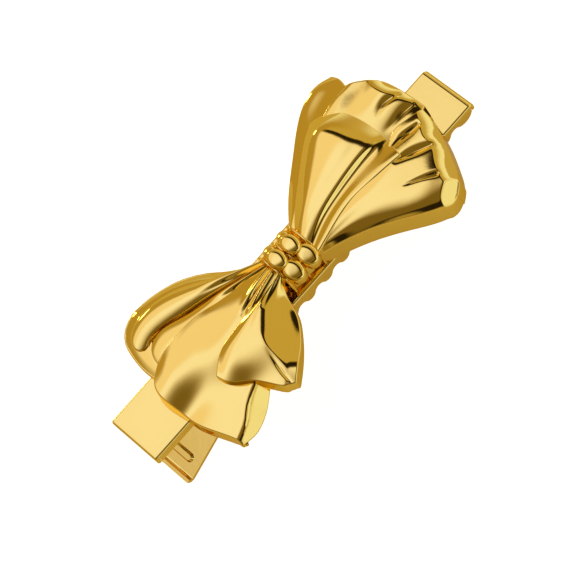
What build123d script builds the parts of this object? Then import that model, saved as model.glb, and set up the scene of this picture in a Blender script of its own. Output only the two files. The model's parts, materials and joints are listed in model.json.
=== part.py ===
"""Bow hair clip: a flat two-arm spring clip with a cast metal bow soldered along its upper arm.

Everything is drawn in the clip's own frame: X runs from the thumb end to the nose, Y to the left,
and Z = 0 is the flat top of the upper arm. At the end the whole clip is tipped and moved so that it
stands on the ground as it does when it is laid down: on its nose and on the end of its lower lever.
"""
import math
import os

from build123d import *

# ---- the strip both arms are pressed from, mm ----
sheet = 0.5
arm_length = 60.0
arm_width = 8.4
edge_bend = 0.32
side_play = 0.15

# ---- upper arm ----
lever_flange = 1.44
tail_bend = 0.4
nose_bend = 0.8
nose_lip = 1.25
corner_slit = 0.12
scallop_pitch = 3.25
last_crest_from_lip = 2.0
crest_to_valley = 1.45
crest_depth_at_nose = 2.0
crest_depth_at_hinge = 2.75
valley_depth_at_nose = 1.1
valley_depth_at_hinge = 1.75
flange_start_at_nose = 0.6
lever_flange_stop = 2.0
scallops_start = 2.0

# ---- hinge ----
hinge_x = 21.0
pin_r = 0.7
pin_play = 0.05
rivet_play = 0.01
head_r = 1.25
head_height = 0.4
ear_r = 1.55
lower_ear_r = 1.45
hinge_headroom = 0.3

# ---- leaf spring ----
spring_sheet = 0.3
spring_width = 4.2
spring_play = 0.05
spring_reach = 11.0

# ---- lower arm ----
lever_drop_angle = 25.0
lower_end_x = 1.25
lower_lip = 1.1
lower_end_corner = 0.9
jaw_depth_at_nose = 1.9
jaw_depth_at_hinge = 2.9
jaw_starts_past_hinge = 4.5
saddle_past_hinge = 1.6
lip_bend = 0.3
lever_bend = 1.2
saddle_bend = 1.0
jaw_nose_gap = 0.35
tooth_gap = 0.15
tooth_valley_at_nose = 0.3
tooth_valley_at_hinge = 0.7
rib_length = 4.6
rib_width = 1.3
rib_height = 0.35
rib_slope = 40.0
rib_from_end = 2.7

# ---- bow ----
bow_gap = 0.25
bow_wall = 1.1
skin_tolerance = 0.05
post_r = 1.0
solder_r = 1.7
solder_film = 0.2
knot_tail_x = 27.2
knot_loop_x = 32.8
knot_middle = (knot_tail_x + knot_loop_x) / 2
knot_half_width = 3.3
knot_height = 5.6
knot_offset = -0.7
knot_inset = 0.4
knot_seam = 0.02
collar = 0.4
collar_rise = 0.3
bulge_height = 1.3
knot_bulges = (
    (0.35, 4.05, 1.95, -5),
    (-2.1, 3.0, 1.75, 52),
)

# ---- sizes worked out from the ones above ----
inner_width = arm_width - 2 * sheet
lower_width = inner_width - 2 * side_play
spring_r = pin_r + spring_play + spring_sheet
saddle_depth = spring_r + spring_play
hinge_z = -(jaw_depth_at_hinge + hinge_headroom - saddle_depth)
saddle_z = hinge_z - saddle_depth
lever_angle = math.radians(lever_drop_angle)
last_crest_x = arm_length - sheet - last_crest_from_lip
hinge_axis = Plane(origin=(hinge_x, 0, hinge_z), x_dir=(1, 0, 0), z_dir=(0, -1, 0))


def side_plane(y):
    """Sketch plane facing -Y at the given y: sketch x is X and sketch y is Z."""
    return Plane(origin=(0, y, 0), x_dir=(1, 0, 0), z_dir=(0, -1, 0))


def across(face, width):
    """Extrudes an X-Z profile to a width that is centred on the clip."""
    return extrude(side_plane(width / 2) * face, amount=width)


def blend(start, end, share):
    """The value that lies a share of the way from start to end."""
    return start + (end - start) * share


def jaw_share(x):
    """0 at the hinge and 1 at the nose."""
    return (x - hinge_x) / (arm_length - hinge_x)


# ---- the arms ----
def wavy_line(points):
    """Arcs through a row of crests and valleys, each arc ending half way to the next point."""
    ends = [Vector(*points[0])]
    for here, there in zip(points[1:-1], points[2:-1]):
        ends.append((Vector(*here) + Vector(*there)) / 2)
    ends.append(Vector(*points[-1]))
    line = Curve()
    for start, top, end in zip(ends, points[1:-1], ends[1:]):
        line += ThreePointArc(start, top, end)
    return line


def scallop_points():
    """Crests and valleys of the upper arm's wavy jaw edge, from the hinge to the nose."""
    points = []
    crest = last_crest_x
    while crest > hinge_x + ear_r + scallops_start:
        share = jaw_share(crest)
        depth = blend(crest_depth_at_hinge, crest_depth_at_nose, share)
        points.append((crest, -depth))
        valley = crest - crest_to_valley
        depth = blend(valley_depth_at_hinge, valley_depth_at_nose, share)
        points.append((valley, -depth))
        crest -= scallop_pitch
    points.reverse()
    return points


def upper_profile():
    """Side view of the upper arm, with lips at both ends, ears at the pin and the wavy jaw edge."""
    end = arm_length
    ear_left = (hinge_x - ear_r, hinge_z)
    ear_right = (hinge_x + ear_r, hinge_z)
    ear_stop = (hinge_x - ear_r - (-lever_flange - hinge_z), -lever_flange)
    lever_stop = (hinge_x - ear_r - lever_flange_stop, -lever_flange)
    flange_end = (end - sheet, -flange_start_at_nose)
    outline = Polyline(lever_stop, (sheet, -lever_flange), (0, -lever_flange), (0, -tail_bend))
    outline += RadiusArc((0, -tail_bend), (tail_bend, 0), tail_bend)
    outline += Line((tail_bend, 0), (end - nose_bend, 0))
    outline += RadiusArc((end - nose_bend, 0), (end, -nose_bend), nose_bend)
    outline += Polyline((end, -nose_bend), (end, -nose_lip), (end - sheet, -nose_lip), flange_end)
    outline += wavy_line([ear_right, *scallop_points(), flange_end])
    outline += ThreePointArc(ear_left, (hinge_x, hinge_z - ear_r), ear_right)
    outline += TangentArc(ear_left, ear_stop, tangent=(0, 1))
    outline += Line(ear_stop, lever_stop)
    return make_face(outline)


def upper_arm():
    """The long flat arm, folded down all round, that carries the bow."""
    arm = across(upper_profile(), arm_width)
    top_edges = arm.edges().filter_by(Axis.X).group_by(Axis.Z)[-1]
    arm = fillet(top_edges, edge_bend)
    depth = ear_r - hinge_z + 1.0
    room = Box(arm_length - 2 * sheet, inner_width, depth, align=(Align.MIN, Align.CENTER, Align.MAX))
    arm -= Pos(sheet, 0, -sheet) * room
    slit = Box(corner_slit, arm_width + 1, depth, align=(Align.CENTER, Align.CENTER, Align.MAX))
    arm -= Pos(sheet + corner_slit / 2, 0, -sheet) * slit
    arm -= Pos(arm_length - sheet - corner_slit / 2, 0, -sheet) * slit
    arm -= hinge_axis * Cylinder(pin_r + pin_play, arm_width + 2)
    return arm


def strip_profile(points, thickness, radii):
    """A bent strip in side view: `points` run along its right-hand side, `radii` are inside bends."""
    steps = []
    for here, there in zip(points, points[1:]):
        steps.append((Vector(*there) - Vector(*here)).normalized())
    left_side = [Vector(*points[0]) + steps[0].rotate(Axis.Z, 90) * thickness]
    right_radii = []
    left_radii = []
    for point, before, after, radius in zip(points[1:-1], steps, steps[1:], radii):
        square = before.rotate(Axis.Z, 90)
        shift = (square + after.rotate(Axis.Z, 90)) / (1 + square.dot(after.rotate(Axis.Z, 90)))
        left_side.append(Vector(*point) + shift * thickness)
        turns_left = before.cross(after).Z > 0
        left_radii.append(radius if turns_left else radius + thickness)
        right_radii.append(radius + thickness if turns_left else radius)
    left_side.append(Vector(*points[-1]) + steps[-1].rotate(Axis.Z, 90) * thickness)
    outline = FilletPolyline(*points, radius=right_radii)
    outline += FilletPolyline(*left_side, radius=left_radii)
    outline += Line(points[0], left_side[0])
    outline += Line(points[-1], left_side[-1])
    return make_face(outline)


def jaw_bottom(x):
    """Underside of the lower jaw, which rises towards the nose."""
    start = hinge_x + jaw_starts_past_hinge
    share = (x - start) / (arm_length - start)
    return -blend(jaw_depth_at_hinge, jaw_depth_at_nose, share)


def lower_base_points():
    """Underside of the lower arm in side view, from the nose to the tip of the thumb end's lip."""
    nose_x = arm_length - sheet - jaw_nose_gap
    jaw_x = hinge_x + jaw_starts_past_hinge
    bottom = saddle_z - sheet
    kink_x = hinge_x + saddle_depth * math.tan(lever_angle / 2)
    drop = (kink_x - lower_end_x) * math.tan(lever_angle)
    end = (lower_end_x, bottom - drop)
    tip = (end[0] - lower_lip * math.sin(lever_angle), end[1] + lower_lip * math.cos(lever_angle))
    return [
        (nose_x, jaw_bottom(nose_x)),
        (jaw_x, jaw_bottom(jaw_x)),
        (hinge_x + saddle_past_hinge, bottom),
        (kink_x, bottom),
        end,
        tip,
    ]


def lower_cheek_profile():
    """Side view of the lower jaw's upturned edges, with scalloped tops and ears at the pin."""
    nose_x = arm_length - sheet - jaw_nose_gap
    jaw_x = hinge_x + jaw_starts_past_hinge
    top = -(sheet + tooth_gap)
    tops = [(nose_x, top - tooth_valley_at_nose)]
    crest = last_crest_x
    while crest > jaw_x + crest_to_valley:
        valley = blend(tooth_valley_at_hinge, tooth_valley_at_nose, jaw_share(crest))
        tops.append((crest, top - valley))
        tops.append((crest - crest_to_valley, top))
        crest -= scallop_pitch
    tops.append((jaw_x, top - tooth_valley_at_hinge))
    points = lower_base_points()
    outline = wavy_line(tops)
    outline += Polyline(tops[-1], (hinge_x, tops[-1][1]), (hinge_x, points[3][1]), *points[2::-1], tops[0])
    ear = Pos(hinge_x, hinge_z) * Circle(lower_ear_r)
    ear_foot = Pos(hinge_x, hinge_z) * Rectangle(
        2 * lower_ear_r, hinge_z - points[3][1], align=(Align.CENTER, Align.MAX)
    )
    return make_face(outline) + ear + ear_foot


def lower_arm():
    """The arm inside the upper one: a toothed jaw, a saddle for the spring and a dropped lever."""
    points = lower_base_points()
    arm = across(strip_profile(points[::-1], sheet, (lip_bend, lever_bend, saddle_bend, saddle_bend)), lower_width)
    cheeks = across(lower_cheek_profile(), lower_width)
    cheeks -= across(lower_cheek_profile(), lower_width - 2 * sheet)
    arm += cheeks
    arm -= hinge_axis * Cylinder(pin_r + rivet_play, arm_width + 2)
    tip_x = points[-1][0]
    plan = Rectangle(arm_length, lower_width, align=(Align.MIN, Align.CENTER))
    plan = fillet(plan.vertices().group_by(Axis.X)[0], lower_end_corner)
    arm &= extrude(Pos(tip_x - sheet, 0, points[-2][1] - 1) * plan, amount=30)
    end = Vector(points[-2][0], 0, points[-2][1])
    along = Vector(math.cos(lever_angle), 0, math.sin(lever_angle))
    up = Vector(-math.sin(lever_angle), 0, math.cos(lever_angle))
    seat = Plane(origin=end + along * rib_from_end + up * sheet, x_dir=(0, 1, 0), z_dir=up)
    rib = extrude(seat * SlotOverall(rib_length, rib_width), amount=rib_height, taper=rib_slope)
    arm += rib
    groove = SlotOverall(rib_length - sheet, rib_width - sheet)
    arm -= extrude(seat.offset(-sheet) * groove, amount=rib_height, taper=rib_slope)
    return arm


def hinge_pin():
    """Rivet through all four ears, with a domed head outside each side of the upper arm."""
    shank_length = arm_width + 2 * pin_play
    pin = Cylinder(pin_r, shank_length)
    for side in (1, -1):
        head = Cylinder(head_r, head_height, align=(Align.CENTER, Align.CENTER, Align.MIN))
        head = chamfer(head.edges().group_by(Axis.Z)[-1], head_height * 0.6)
        head = Pos(0, 0, shank_length / 2) * head
        pin += head if side == 1 else Rot(180, 0, 0) * head
    return hinge_axis * pin


def spring_line(radius):
    """One face of the leaf spring in side view: upper leg, bend round the pin, lower leg."""
    headroom = -hinge_z - sheet - spring_play
    rise = math.asin((headroom - spring_r) / spring_reach)
    top = Vector(hinge_x + radius * math.sin(rise), hinge_z + radius * math.cos(rise))
    low = Vector(hinge_x + radius * math.sin(lever_angle), hinge_z - radius * math.cos(lever_angle))
    top_end = top + Vector(-math.cos(rise), math.sin(rise)) * spring_reach
    low_end = low + Vector(-math.cos(lever_angle), -math.sin(lever_angle)) * spring_reach
    return top_end, top, low, low_end


def leaf_spring():
    """Bent strip round the pin whose two legs push the levers apart."""
    inside = spring_line(pin_r + spring_play)
    outside = spring_line(spring_r)
    outline = Curve()
    for (top_end, top, low, low_end), radius in ((inside, pin_r + spring_play), (outside, spring_r)):
        outline += Line(top_end, top)
        outline += ThreePointArc(top, (hinge_x + radius, hinge_z), low)
        outline += Line(low, low_end)
    outline += Line(inside[0], outside[0])
    outline += Line(inside[3], outside[3])
    return across(make_face(outline), spring_width)


# ---- the bow: thin castings, hollow behind, each made of overlapping panels of gathered ribbon ----
# A panel is the skin between four edges: left and right run along the ribbon, away from the knot,
# and near and far run across it. Its height above the chord between its edges is a swell, with
# gathers that fade in or out along the ribbon. Every edge is a smooth curve through few points.


def gather(place, half_width, rise):
    """A ridge (or a furrow, with a negative rise) that deepens towards the ribbon's far end."""

    def height(u, v):
        return rise * u * math.exp(-(((v - place) / half_width) ** 2))

    return height


def fold(near_place, far_place, half_width, rise):
    """A ridge or a furrow that drifts across the ribbon, from near_place to far_place."""

    def height(u, v):
        place = blend(near_place, far_place, u)
        return rise * math.sin(math.pi * (0.15 + 0.85 * u)) * math.exp(-(((v - place) / half_width) ** 2))

    return height


def pucker(place, half_width, rise):
    """A ridge or a furrow that is deepest where the ribbon enters the knot."""

    def height(u, v):
        return rise * max(0, 1 - 1.8 * u) * math.exp(-(((v - place) / half_width) ** 2))

    return height


def swell(rise, lean=1.0):
    """A smooth bulge over the whole panel; lean under 1 moves its top towards the left edge."""

    def height(u, v):
        return rise * math.sin(math.pi * u**0.8) * math.sin(math.pi * v**lean)

    return height


class Panel:
    """One stretch of gathered ribbon, between four edges."""

    def __init__(self, left, right, near, far, heights):
        self.left, self.right, self.near, self.far = left, right, near, far
        self.heights = heights

    def point(self, u, v):
        """A point of the skin: u runs away from the knot and v from left to right."""
        sides = (self.left @ u) * (1 - v) + (self.right @ u) * v
        ends = (self.near @ v) * (1 - u) + (self.far @ v) * u
        near = (self.left @ 0) * (1 - v) + (self.right @ 0) * v
        far = (self.left @ 1) * (1 - v) + (self.right @ 1) * v
        lift = sum(height(u, v) for height in self.heights)
        return sides + ends - near * (1 - u) - far * u + Vector(0, 0, lift)

    def block(self, count=10):
        """The solid under the skin, down to the casting's rim."""
        shares = [i / count for i in range(count + 1)]
        grid = [[self.point(u, v) for v in shares] for u in shares]
        skin = Face.make_surface_from_array_of_points(grid, tol=skin_tolerance)
        solid = extrude(skin, amount=20, dir=(0, 0, -1))
        return split(solid, bisect_by=Plane.XY.offset(bow_gap), keep=Keep.TOP)

    def air(self):
        """The hollow behind the skin: a flat-sided wedge, at least a wall's thickness under it."""
        start, end = 0.12, 0.85
        near = self.point(start, 0.5)
        far = self.point(end, 0.5)
        along = Vector(far.X - near.X, far.Y - near.Y, 0).normalized()
        square = along.rotate(Axis.Z, 90)
        if (self.point(end, 0) - far).dot(square) < 0:
            square = -square
        sections = []
        for u, middle in ((start, near), (end, far)):
            left = (self.point(u, 0) - middle).dot(square) - bow_wall
            right = (self.point(u, 1) - middle).dot(square) + bow_wall
            top = min(self.point(u, i / 10).Z for i in range(1, 10)) - bow_wall
            corners = []
            for offset, z in ((left, top), (right, top), (right, -bow_wall), (left, -bow_wall)):
                place = middle + square * offset
                corners.append((place.X, place.Y, z))
            sections.append(Wire.make_polygon(corners))
        return Solid.make_loft(sections, ruled=True)


def tail_panels():
    """The two tails: a broad one split into two lobes on the left, and a short one laid on top."""
    lobes = Panel(
        Spline((27.1, 2.6, 2.4), (21.2, 8.2, 1.6), (16.8, 10.8, 1.3), (12.3, 11.8, 1.1)),
        Spline((27.1, -0.6, 2.4), (20.0, 0.5, 1.6), (12.0, 0.0, 1.1), (7.6, 1.0, 0.9)),
        Spline((27.1, 2.6, 2.4), (27.1, -0.6, 2.4)),
        Spline((12.3, 11.8, 1.1), (8.4, 9.6, 1.0), (7.1, 5.4, 1.0), (7.6, 1.0, 0.9)),
        (swell(1.6), fold(0.5, 0.4, 0.1, -0.6), pucker(0.3, 0.12, 0.35), pucker(0.7, 0.12, 0.35)),
    )
    broad = Panel(
        Spline((27.1, 0.9, 3.4), (23.0, 1.8, 3.1), (16.8, 3.7, 3.0), (11.3, 4.0, 2.9), (8.6, 3.1, 2.9)),
        Spline((27.1, -2.6, 3.4), (22.0, -6.2, 2.3), (15.5, -10.0, 1.9), (8.6, -12.5, 2.1)),
        Spline((27.1, 0.9, 3.4), (27.1, -2.6, 3.4)),
        Spline((8.6, 3.1, 2.9), (6.1, 0.2, 2.8), (6.2, -4.6, 2.8), (7.8, -10.4, 2.5), (8.6, -12.5, 2.1)),
        (swell(1.1, 0.85), gather(0.8, 0.14, 0.5), pucker(0.25, 0.1, 0.35), pucker(0.6, 0.1, 0.35)),
    )
    short = Panel(
        Spline((27.1, -1.2, 4.0), (20.9, -1.8, 4.3), (15.9, -2.4, 4.3), (12.4, -4.8, 4.1)),
        Spline((27.1, -3.0, 3.1), (25.2, -5.2, 3.3), (22.8, -9.4, 3.3), (18.1, -13.1, 3.3)),
        Spline((27.1, -1.2, 4.0), (27.1, -3.0, 3.1)),
        Spline((12.4, -4.8, 4.1), (14.6, -7.8, 4.0), (16.8, -11.2, 3.7), (18.1, -13.1, 3.3)),
        (swell(0.7), fold(0.4, 0.85, 0.16, 0.9)),
    )
    return lobes, broad, short


def loop_panels():
    """The loop: a back layer, a front sheet with a fold down its right side, and a full right side."""
    back = Panel(
        Spline((32.9, 2.6, 2.6), (40.3, 8.8, 2.7), (44.6, 11.4, 2.8), (48.8, 12.4, 2.6)),
        Spline((32.9, -0.6, 2.6), (40.0, -1.5, 3.0), (48.0, -4.0, 3.0), (54.6, -5.0, 2.4)),
        Spline((32.9, 2.6, 2.6), (32.9, -0.6, 2.6)),
        Spline((48.8, 12.4, 2.6), (53.2, 9.8, 2.5), (55.9, 4.0, 2.5), (56.1, -0.4, 2.5), (54.6, -5.0, 2.4)),
        (swell(1.2, 0.9), gather(0.22, 0.1, -0.5)),
    )
    front = Panel(
        Spline((32.9, 1.8, 3.4), (36.0, 4.3, 3.7), (41.5, 8.0, 4.0), (45.4, 9.6, 4.3)),
        Spline((32.9, -2.6, 3.4), (37.8, -2.7, 4.6), (43.0, -2.7, 4.8), (48.3, -3.4, 4.8)),
        Spline((32.9, 1.8, 3.4), (32.9, -2.6, 3.4)),
        Spline((45.4, 9.6, 4.3), (48.2, 7.2, 4.9), (49.0, 2.8, 5.3), (48.3, -3.4, 4.8)),
        (swell(1.5, 0.75), gather(0.8, 0.1, -0.6)),
    )
    right = Panel(
        Spline((32.9, -1.6, 3.0), (37.0, -1.6, 4.1), (43.2, -1.4, 4.5), (50.0, -0.8, 4.3), (54.8, -1.5, 3.0)),
        Spline((32.9, -3.3, 2.6), (38.1, -6.4, 2.9), (42.9, -9.5, 2.9), (48.4, -12.7, 2.2)),
        Spline((32.9, -1.6, 3.0), (32.9, -3.3, 2.6)),
        Spline((54.8, -1.5, 3.0), (54.2, -5.5, 2.8), (52.0, -9.9, 2.5), (48.4, -12.7, 2.2)),
        (swell(1.9, 0.9), gather(0.32, 0.1, -0.4), gather(0.62, 0.1, -0.4)),
    )
    return back, front, right


def hollow(panels, posts):
    """Joins the panels' blocks into one casting, hollows it from below and adds its posts."""
    body = panels[0].block()
    for panel in panels[1:]:
        body += panel.block()
    for panel in panels:
        body -= panel.air()
    for x, y, top in posts:
        body += post(x, y, top)
    return body


tail_posts = ((12.5, 0.0, 3.0), (21.0, 0.0, 3.4))
loop_posts = ((38.0, 0.5, 4.4), (46.0, 0.5, 5.0))


def bow_tails():
    return hollow(tail_panels(), tail_posts)


def bow_loop():
    return hollow(loop_panels(), loop_posts)


def arch(inset, length, x):
    """A half-round tunnel, `inset` inside the knot's outline and just clear of the plate, at x."""
    half_width = knot_half_width - inset
    height = knot_height - inset - knot_inset
    face = Ellipse(half_width, height)
    face &= Pos(0, bow_gap) * Rectangle(2 * half_width, height, align=(Align.CENTER, Align.MIN))
    face = Plane(origin=(x, 0, 0), x_dir=(0, 1, 0), z_dir=(1, 0, 0)) * face
    return extrude(face, amount=length / 2, both=True)


def post(x, y, top):
    """A foot of the casting, standing on its film of solder."""
    length = top - solder_film
    return Pos(x, y, solder_film) * Cylinder(post_r, length, align=(Align.CENTER, Align.CENTER, Align.MIN))


def bow_knot():
    """The knot: a short band whose two gathers bulge on top and on both shoulders."""
    length = knot_loop_x - knot_tail_x
    body = arch(knot_inset, length, knot_middle)
    for x in (knot_tail_x + collar / 2, knot_loop_x - collar / 2):
        body += arch(knot_inset - collar_rise, collar, x)
    bulge_half = length / 4 - knot_seam
    for side in (-1, 1):
        for y, z, reach, turn in knot_bulges:
            bulge = scale(Sphere(1), by=(bulge_half, reach, bulge_height))
            body += Pos(knot_middle + side * length / 4, y, z) * Rot(turn, 0, 0) * bulge
    body -= arch(knot_inset + bow_wall, length - 2 * bow_wall, knot_middle)
    return Pos(0, knot_offset, 0) * (body + post(knot_middle, 0, knot_height - bow_wall - knot_inset))


def solder_fillets():
    """The solder under and round the foot of each post, on the upper arm."""
    spots = [(x, y) for x, y, _ in tail_posts + loop_posts] + [(knot_middle, knot_offset)]
    pad = Cylinder(solder_r, solder_film, align=(Align.CENTER, Align.CENTER, Align.MIN))
    pad = chamfer(pad.edges().group_by(Axis.Z)[-1], solder_film * 0.7, (solder_r - post_r) * 0.8)
    return Compound([Pos(x, y, 0) * pad.solid() for x, y in spots])


# ---- build ----
def foot_height(shapes, tip):
    """How low the shapes reach once the clip is tipped nose down by an angle in degrees."""
    return min((Rot(0, tip, 0) * shape).bounding_box().min.Z for shape in shapes)


def resting_tip(thumb_end, nose_end):
    """The angle that stands the clip on its nose and on the end of its lower lever."""
    low, high = 0.0, 30.0
    for _ in range(30):
        tip = (low + high) / 2
        if foot_height([thumb_end], tip) < foot_height([nose_end], tip):
            low = tip
        else:
            high = tip
    return tip


def main():
    nodes = {
        "upper_arm": upper_arm(),
        "lower_arm": lower_arm(),
        "hinge_pin": hinge_pin(),
        "leaf_spring": leaf_spring(),
        "bow_loop": bow_loop(),
        "bow_tails": bow_tails(),
        "bow_knot": bow_knot(),
        "solder_fillets": solder_fillets(),
    }
    nose_end = split(nodes["upper_arm"], bisect_by=Plane.YZ.offset(arm_length * 0.8), keep=Keep.TOP)
    thumb_end = split(nodes["lower_arm"], bisect_by=Plane.YZ.offset(arm_length * 0.2), keep=Keep.BOTTOM)
    tip = resting_tip(thumb_end, nose_end)
    tipped = {name: Rot(0, tip, 0) * shape for name, shape in nodes.items()}
    box = Compound([solid for shape in tipped.values() for solid in shape.solids()]).bounding_box()
    ground = Pos(-(box.min.X + box.max.X) / 2, -(box.min.Y + box.max.Y) / 2, -box.min.Z)
    os.makedirs("parts", exist_ok=True)
    for name, shape in tipped.items():
        export_step(ground * shape, f"parts/{name}.step")
    print("tip", tip)
    print("hinge", ground * Rot(0, tip, 0) * Pos(hinge_x, 0, hinge_z))


main()
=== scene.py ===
import json
import math

import bpy
import numpy as np
from mathutils import Matrix, Vector


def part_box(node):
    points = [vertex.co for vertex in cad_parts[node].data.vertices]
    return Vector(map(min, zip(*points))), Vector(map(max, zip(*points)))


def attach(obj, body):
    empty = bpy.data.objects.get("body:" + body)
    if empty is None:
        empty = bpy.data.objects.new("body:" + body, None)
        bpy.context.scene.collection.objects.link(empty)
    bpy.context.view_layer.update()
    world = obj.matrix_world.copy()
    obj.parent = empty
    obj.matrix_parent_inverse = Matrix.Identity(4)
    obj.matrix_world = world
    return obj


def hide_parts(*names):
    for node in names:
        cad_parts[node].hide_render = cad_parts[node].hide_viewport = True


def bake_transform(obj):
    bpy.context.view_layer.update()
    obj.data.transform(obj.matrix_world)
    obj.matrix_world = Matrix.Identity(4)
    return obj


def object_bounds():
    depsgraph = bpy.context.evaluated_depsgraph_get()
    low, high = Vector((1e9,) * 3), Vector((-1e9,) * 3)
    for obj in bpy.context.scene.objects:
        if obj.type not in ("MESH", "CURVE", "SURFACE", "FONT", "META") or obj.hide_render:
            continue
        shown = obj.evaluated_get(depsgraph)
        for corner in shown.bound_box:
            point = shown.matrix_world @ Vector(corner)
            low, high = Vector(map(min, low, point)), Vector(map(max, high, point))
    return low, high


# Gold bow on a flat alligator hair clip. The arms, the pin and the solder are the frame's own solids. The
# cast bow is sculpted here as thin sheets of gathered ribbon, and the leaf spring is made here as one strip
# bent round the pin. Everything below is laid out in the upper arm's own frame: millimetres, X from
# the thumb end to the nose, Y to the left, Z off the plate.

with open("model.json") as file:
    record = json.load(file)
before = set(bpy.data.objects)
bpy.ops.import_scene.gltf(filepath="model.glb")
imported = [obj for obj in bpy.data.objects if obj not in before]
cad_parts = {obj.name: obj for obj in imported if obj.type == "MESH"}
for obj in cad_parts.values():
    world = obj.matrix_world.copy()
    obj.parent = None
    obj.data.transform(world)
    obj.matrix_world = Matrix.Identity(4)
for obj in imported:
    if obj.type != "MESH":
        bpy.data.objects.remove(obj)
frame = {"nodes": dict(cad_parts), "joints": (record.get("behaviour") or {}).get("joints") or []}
cad_box = [list(corner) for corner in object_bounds()]
nodes = frame["nodes"]
MM = 0.001

# ---- the upper arm's frame ----

arm_length = 60.0
arm_sheet = 0.5
hinge_drop = 2.1
hinge = Vector((21.0, 0.0, -hinge_drop))
joint = frame["joints"][0]


def plate_tip():
    """The angle that the upper arm's flat plate is tipped by, about Y."""
    plate = max(nodes["upper_arm"].data.polygons, key=lambda face: face.area)
    normal = plate.normal if plate.normal.z > 0 else -plate.normal
    return math.atan2(normal.x, normal.z)


arm_turn = Matrix.Rotation(plate_tip(), 4, "Y")
arm_middle_y = sum(corner[1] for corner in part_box("upper_arm")) / 2
hinge_middle = Vector((joint["pos_m"][0], arm_middle_y, joint["pos_m"][2]))
arm_frame = Matrix.Translation(hinge_middle) @ arm_turn @ Matrix.Scale(MM, 4) @ Matrix.Translation(-hinge)


# ---- curves and surfaces ----
# A surface is a function of u and v, both from 0 to 1, that gives points.


def natural_cubic(knots, values):
    """The smooth curve that takes these values at these knots, from 0 to 1."""
    knots = np.array(knots, float)
    values = np.array(values, float)
    count = len(knots)
    gaps = np.diff(knots)
    system = np.eye(count)
    bends = np.zeros_like(values)
    for i in range(1, count - 1):
        system[i, i - 1 : i + 2] = gaps[i - 1], 2 * (gaps[i - 1] + gaps[i]), gaps[i]
        bends[i] = 6 * ((values[i + 1] - values[i]) / gaps[i] - (values[i] - values[i - 1]) / gaps[i - 1])
    bends = np.linalg.solve(system, bends)

    def at(share):
        share = np.clip(np.asarray(share, float), 0, 1)
        i = np.clip(np.searchsorted(knots, share) - 1, 0, count - 2)
        gap = gaps[i][..., None]
        a = ((knots[i + 1] - share) / gaps[i])[..., None]
        b = 1 - a
        bend = ((a**3 - a) * bends[i] + (b**3 - b) * bends[i + 1]) * gap**2 / 6
        return a * values[i] + b * values[i + 1] + bend

    return at


def spline(*points):
    """A smooth curve through the points, as a function of its share from 0 to 1."""
    points = np.array(points, float)
    reach = np.concatenate([[0], np.cumsum(np.linalg.norm(np.diff(points, axis=0), axis=1))])
    return natural_cubic(reach / reach[-1], points)


def traced(points):
    """The smooth line through the points, as a row of short straight stretches."""
    return spline(*points)(np.linspace(0, 1, 25))


def patch(left, right, near, far, lift):
    """The surface between four edges, raised by lift(u, v): u leads away from the knot, v to the right."""

    def at(u, v):
        along_u = u[..., None]
        along_v = v[..., None]
        sides = left(u) * (1 - along_v) + right(u) * along_v
        ends = near(v) * (1 - along_u) + far(v) * along_u
        near_chord = left(0.0) * (1 - along_v) + right(0.0) * along_v
        far_chord = left(1.0) * (1 - along_v) + right(1.0) * along_v
        points = sides + ends - near_chord * (1 - along_u) - far_chord * along_u
        points[..., 2] += lift(u, v)
        return points

    return at


def loft(places, *rails):
    """The surface through rails that all lead away from the knot; places gives each one's v."""
    weights = natural_cubic(places, np.eye(len(rails)))
    curves = [spline(*rail) for rail in rails]

    def at(u, v):
        share = weights(v)
        return sum(share[..., i : i + 1] * curve(u) for i, curve in enumerate(curves))

    return at


def from_line(plan, line):
    """For each point: its distance from the line, the side it is on, and the line's own values there."""
    distance = np.full(plan.shape[:-1], np.inf)
    side = np.zeros(plan.shape[:-1])
    values = np.zeros((*plan.shape[:-1], line.shape[1] - 2))
    last = len(line) - 2
    for i, (start, stop) in enumerate(zip(line[:-1], line[1:])):
        along = stop[:2] - start[:2]
        gap = plan - start[:2]
        share = (gap @ along) / (along @ along)
        share = np.clip(share, -np.inf if i == 0 else 0, np.inf if i == last else 1)[..., None]
        away = gap - share * along
        reach = np.linalg.norm(away, axis=-1)
        nearer = reach < distance
        distance = np.where(nearer, reach, distance)
        side = np.where(nearer, np.sign(along[0] * away[..., 1] - along[1] * away[..., 0]), side)
        here = start[2:] + np.clip(share, 0, 1) * (stop[2:] - start[2:])
        values = np.where(nearer[..., None], here, values)
    return distance, side, values


def fold_rise(plan, line):
    """How far a fold lifts each point: fully on its line, fading over its width and past its ends."""
    end_reach = 3.0
    steepness = 1.7
    distance, _, values = from_line(plan, line)
    from_end = np.minimum(*(np.linalg.norm(plan - line[end][:2], axis=-1) for end in (0, -1)))
    beyond = np.zeros(plan.shape[:-1])
    for end, before in ((0, 1), (-1, -2)):
        out = line[end][:2] - line[before][:2]
        past = ((plan - line[end][:2]) @ (out / np.linalg.norm(out))).clip(0)
        beyond = np.maximum(beyond, np.where(from_end < end_reach, past, 0))
    reach = np.hypot(distance, beyond) / values[..., 1]
    return values[..., 0] * np.exp(-(reach**steepness))


def folded(surface, *lines):
    """The surface with folds along smooth lines of (x, y, rise, width)."""
    lines = [traced(line) for line in lines]

    def at(u, v):
        points = surface(u, v)
        plan = points[..., :2].copy()
        for line in lines:
            points[..., 2] += fold_rise(plan, line)
        return points

    return at


def broken_over(surface, line, slope, curl, rounding):
    """The surface turned down on the right of a line that is followed from its first point to its last."""
    line = traced(line)

    def at(u, v):
        points = surface(u, v)
        distance, side, _ = from_line(points[..., :2].copy(), line)
        past = rounding * np.logaddexp(0, -side * distance / rounding)
        points[..., 2] -= slope * past + curl * past**2
        return points

    return at


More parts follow.
